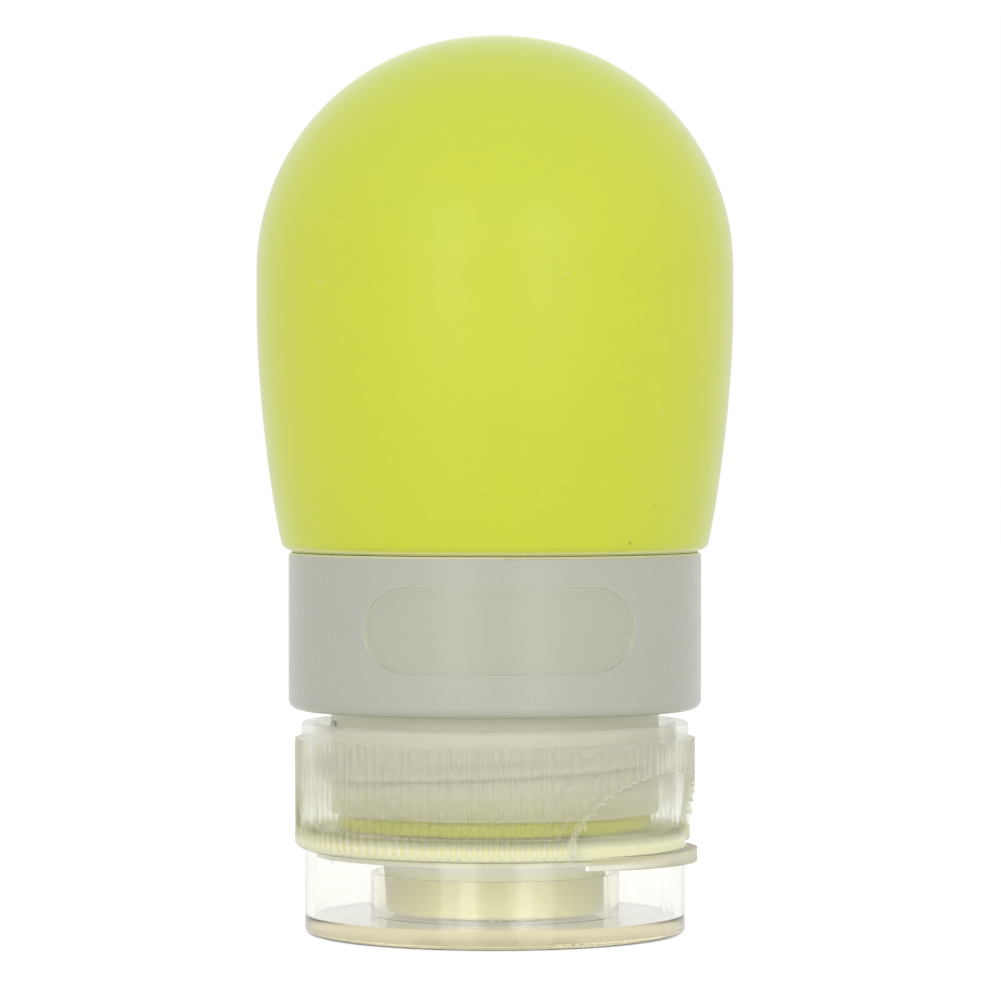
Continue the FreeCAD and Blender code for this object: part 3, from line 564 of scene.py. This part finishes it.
def clear_lid():
    """Scuffed clear plastic, warm where one looks through a lot of it; the tab and base are frosted."""
    material, tree, shader, spot = new_material("clear_lid", {"IOR": 1.49, "Transmission Weight": 1.0})
    height = level(tree, spot)
    away = reach(tree, spot)
    scuff = placed(tree, SCUFF, Vector=spot, Scale=140.0, Share=0.14)
    cloud = placed(tree, CLOUD, Vector=spot, Scale=80.0, Contrast=0.3)
    clear = tint(tree, cloud, (0.985, 0.98, 0.965, 1), (0.995, 0.993, 0.985, 1))
    clear = tint(tree, product(tree, scuff, 0.2), clear, (1.0, 1.0, 1.0, 1))
    socket = maths(tree, "LESS_THAN", away, SOCKET_REACH * MM)
    socket = product(tree, socket, ramp(tree, height, SOCKET_RISE, 0.0, 0.35))
    clear = tint(tree, socket, clear, (0.86, 0.84, 0.66, 1))
    tab = ramp(tree, away, TAB_REACH)
    tree.links.new(tint(tree, tab, clear, (1.0, 0.98, 0.80, 1)), shader.inputs["Base Color"])
    gloss = maths(tree, "MULTIPLY_ADD", scuff, 0.22, spread(tree, cloud, 0.0, 1.0, 0.025, 0.05))
    gloss = maths(tree, "ADD", gloss, ramp(tree, height, LID_BASE, 0.18, 0.0))
    tree.links.new(maths(tree, "MULTIPLY_ADD", tab, 0.4, gloss), shader.inputs["Roughness"])
    lit_through(tree, shader, (0.99, 0.985, 0.97, 1))
    warm = node(tree, "ShaderNodeVolumeAbsorption", {"Color": (0.86, 0.78, 0.42, 1), "Density": 34.0})
    tree.links.new(warm.outputs[0], tree.nodes["Material Output"].inputs["Volume"])
    return material


LIME = lime_silicone()
COLLAR = frosted_collar()
CAP = milky_cap()
RING = milky_plastic("milky_neck", (0.70, 0.68, 0.51, 1), (0.74, 0.72, 0.55, 1), 0.3)
SLEEVE = label_sleeve()
CLEAR = clear_lid()
SOFT_CLEAR = milky_plastic("valve_silicone", (0.92, 0.91, 0.79, 1), (0.95, 0.945, 0.85, 1), 0.35)


def dress(name, material):
    """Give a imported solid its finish."""
    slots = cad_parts[name].data.materials
    slots.clear()
    slots.append(material)


def soft_dome():
    """Dome, flank and soft neck in one wall; its foot settles on the collar and its lip seals the cap."""
    inner = BELLY - WALL
    shape = turned(rounded_section([
        (0, CROWN),
        (BELLY, CROWN, DOME_ROUND, 48),
        (BELLY, FLANK_CORNER, FLANK_RUN, 24),
        (FOOT, SEAT, FOOT_ROUND),
        (SEAL_OUTER, SEAT),
        (SEAL_OUTER, SEAT - SEAL_DROP),
        (SEAL_INNER, SEAT - SEAL_DROP),
        (SEAL_INNER, SEAT),
        (NECK, SEAT),
        (NECK, LIP_TOP),
        (LIP, LIP_TOP, LIP_ROUND),
        (LIP, LIP_END, LIP_ROUND),
        (BORE, LIP_END, LIP_ROUND),
        (BORE, SEAT + WALL, THROAT_ROUND),
        (INNER_FOOT, SEAT + WALL, FOOT_ROUND),
        (inner, INNER_CORNER, INNER_RUN, 24),
        (inner, CROWN - WALL, DOME_ROUND - WALL, 40),
        (0, CROWN - WALL),
    ]), DOME_STEPS)
    for vert in shape.verts:
        rise = max(vert.co.z / MM - CROWN + DOME_ROUND, 0) / DOME_ROUND
        vert.co.x += LEAN * MM * rise
    piece = finished("soft_dome", shape, "vessel", LIME)
    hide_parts("silicone_body")


def thread(name, root, crest, start, phase, body, material):
    """Screw thread: one section spun up the bottle's axis, with both ends drawn back into the wall."""
    shape = bmesh.new()
    section = [
        (root, -THREAD_HALF_ROOT), (crest, -THREAD_HALF_CREST),
        (crest, THREAD_HALF_CREST), (root, THREAD_HALF_ROOT)]
    points = [shape.verts.new((across * MM, 0, (start + up) * MM)) for across, up in section]
    shape.faces.new(points)
    bmesh.ops.spin(
        shape, geom=shape.faces[:], cent=(0, 0, 0), axis=(0, 0, 1), angle=math.tau * THREAD_TURNS,
        steps=int(THREAD_TURNS * THREAD_STEPS), dvec=(0, 0, PITCH / THREAD_STEPS * MM))
    ends = (start, start + THREAD_TURNS * PITCH)
    for vert in shape.verts:
        bearing = math.hypot(vert.co.x, vert.co.y) / MM
        near = min(abs(vert.co.z / MM - end) for end in ends)
        wanted = root + (bearing - root) * min(near / THREAD_RUN_OUT, 1)
        vert.co.x *= wanted / bearing
        vert.co.y *= wanted / bearing
    bmesh.ops.rotate(shape, verts=shape.verts[:], cent=(0, 0, 0), matrix=Matrix.Rotation(phase, 3, "Z"))
    finished(name, shape, body, material)


def in_slit(place):
    """Tell whether a point lies inside one of the two crossed slits, seen along the bottle's axis."""
    wide, narrow = max(abs(place.x), abs(place.y)) / MM, min(abs(place.x), abs(place.y)) / MM
    return wide < SLIT_HALF_LENGTH and narrow < SLIT_HALF_WIDTH


def slit_valve():
    """Soft valve: a clamped flange and a thin dome cut by two crossed slits."""
    top = VALVE_FOOT + VALVE_RISE
    shape = turned(rounded_section([
        (0, top),
        (VALVE_BEND, top - VALVE_UNDER_SAG, VALVE_BEND_RUN, 6),
        (VALVE_EYE, VALVE_FOOT, VALVE_EYE_UNDER_ROUND),
        (VALVE_RIM, VALVE_FOOT, VALVE_RIM_ROUND),
        (VALVE_RIM, VALVE_FOOT + VALVE_FLANGE, VALVE_RIM_ROUND),
        (VALVE_EYE, VALVE_FOOT + VALVE_FLANGE, VALVE_EYE_OVER_ROUND),
        (VALVE_BEND, top + VALVE_SKIN - VALVE_OVER_SAG, VALVE_BEND_RUN, 6),
        (0, top + VALVE_SKIN),
    ], 3), VALVE_STEPS)
    for axis in ((1, 0, 0), (0, 1, 0)):
        for stop in (-SLIT_HALF_LENGTH, -SLIT_HALF_WIDTH, SLIT_HALF_WIDTH, SLIT_HALF_LENGTH):
            bmesh.ops.bisect_plane(
                shape, geom=shape.verts[:] + shape.edges[:] + shape.faces[:], dist=WELD,
                plane_co=[part * stop * MM for part in axis], plane_no=axis)
    slits = [face for face in shape.faces if in_slit(face.calc_center_median())]
    bmesh.ops.delete(shape, geom=slits, context="FACES")
    rims = [edge for edge in shape.edges if edge.is_boundary]
    bmesh.ops.bridge_loops(shape, edges=rims)
    bmesh.ops.rotate(shape, verts=shape.verts[:], cent=(0, 0, 0), matrix=Matrix.Rotation(CAP_TURN, 3, "Z"))
    piece = finished("slit_valve", shape, "valve", SOFT_CLEAR)
    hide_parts("spout_valve")


soft_dome()
thread("neck_thread", NECK_ROOT, NECK_CREST, NECK_START, THREAD_PHASE, "vessel", RING)
thread("cap_thread", CAP_ROOT, CAP_CREST, CAP_START, THREAD_PHASE + math.pi, "cap", CAP)
slit_valve()
dress("id_collar", COLLAR)
dress("neck_ring", RING)
dress("valve_retainer", SOFT_CLEAR)
dress("label_ring", SLEEVE)
dress("cap_base", CAP)
dress("lid", CLEAR)


def looked_at(tree):
    """Tell the rays by which a thing is seen: straight, in a reflection or through clear plastic."""
    path = node(tree, "ShaderNodeLightPath").outputs
    seen = maths(tree, "MAXIMUM", path["Is Camera Ray"], path["Is Glossy Ray"])
    return maths(tree, "MAXIMUM", seen, path["Is Transmission Ray"])


def white_world():
    """White room: a plain level of light on the object, and plain white for whatever looks at it."""
    world = bpy.data.worlds.new("white_room")
    world.use_nodes = True
    tree = world.node_tree
    light = tree.nodes["Background"]
    light.inputs["Color"].default_value = (1, 1, 1, 1)
    strength = spread(tree, looked_at(tree), 0.0, 1.0, ROOM_LIGHT, 1.0)
    tree.links.new(strength, light.inputs["Strength"])
    bpy.context.scene.world = world


def pale_floor():
    """White floor a hair under the lid, part see-through so that a piece below its level still shows."""
    shape = bmesh.new()
    bmesh.ops.create_grid(shape, x_segments=2, y_segments=2, size=FLOOR_HALF)
    bmesh.ops.translate(shape, verts=shape.verts[:], vec=(0, 0, FLOOR_LEVEL))
    mesh = bpy.data.meshes.new("pale_floor")
    shape.to_mesh(mesh)
    shape.free()
    floor = bpy.data.objects.new("pale_floor", mesh)
    bpy.context.scene.collection.objects.link(floor)
    material = bpy.data.materials.new("pale_floor")
    material.use_nodes = True
    tree = material.node_tree
    tree.nodes.clear()
    seen = looked_at(tree)
    matt = node(tree, "ShaderNodeBsdfDiffuse", {"Color": (0.8, 0.8, 0.79, 1)})
    strength = spread(tree, seen, 0.0, 1.0, 0.0, FLOOR_GLOW)
    glow = node(tree, "ShaderNodeEmission", {"Color": (1, 1, 1, 1), "Strength": strength})
    white = node(tree, "ShaderNodeAddShader", {0: matt.outputs[0], 1: glow.outputs[0]})
    clear = node(tree, "ShaderNodeBsdfTransparent")
    share = spread(tree, seen, 0.0, 1.0, 0.0, FLOOR_CLEAR)
    mixed = node(tree, "ShaderNodeMixShader", {0: share, 1: white.outputs[0], 2: clear.outputs[0]})
    out = node(tree, "ShaderNodeOutputMaterial")
    tree.links.new(mixed.outputs[0], out.inputs["Surface"])
    mesh.materials.append(material)


def softbox(name, bearing, rise, distance, width, height, power):
    """Tall soft lamp that looks at the middle of the bottle from a bearing, 0 being the camera's."""
    lamp = bpy.data.lights.new(name, "AREA")
    lamp.shape = "RECTANGLE"
    lamp.size = width
    lamp.size_y = height
    lamp.energy = power
    item = bpy.data.objects.new(name, lamp)
    turn = math.radians(bearing)
    item.location = (math.sin(turn) * distance, -math.cos(turn) * distance, LAMP_AIM + rise)
    item.rotation_euler = (math.pi / 2 - math.atan2(rise, distance), 0, turn)
    bpy.context.scene.collection.objects.link(item)


def camera():
    """Long lens at the photograph's place: a little above the middle of the bottle, tilted a trace down."""
    lens = bpy.data.cameras.new("camera")
    lens.lens = LENS
    lens.sensor_width = SENSOR
    item = bpy.data.objects.new("camera", lens)
    item.location = CAMERA_PLACE
    item.rotation_euler = (math.radians(90 - CAMERA_TILT), 0, 0)
    bpy.context.scene.collection.objects.link(item)
    bpy.context.scene.camera = item


white_world()
pale_floor()
softbox("left_softbox", bearing=-22, rise=0.15, distance=0.9, width=0.36, height=0.7, power=1.6)
softbox("right_softbox", bearing=24, rise=0.15, distance=0.9, width=0.36, height=0.7, power=1.6)
camera()
bpy.context.scene.view_settings.view_transform = "Standard"
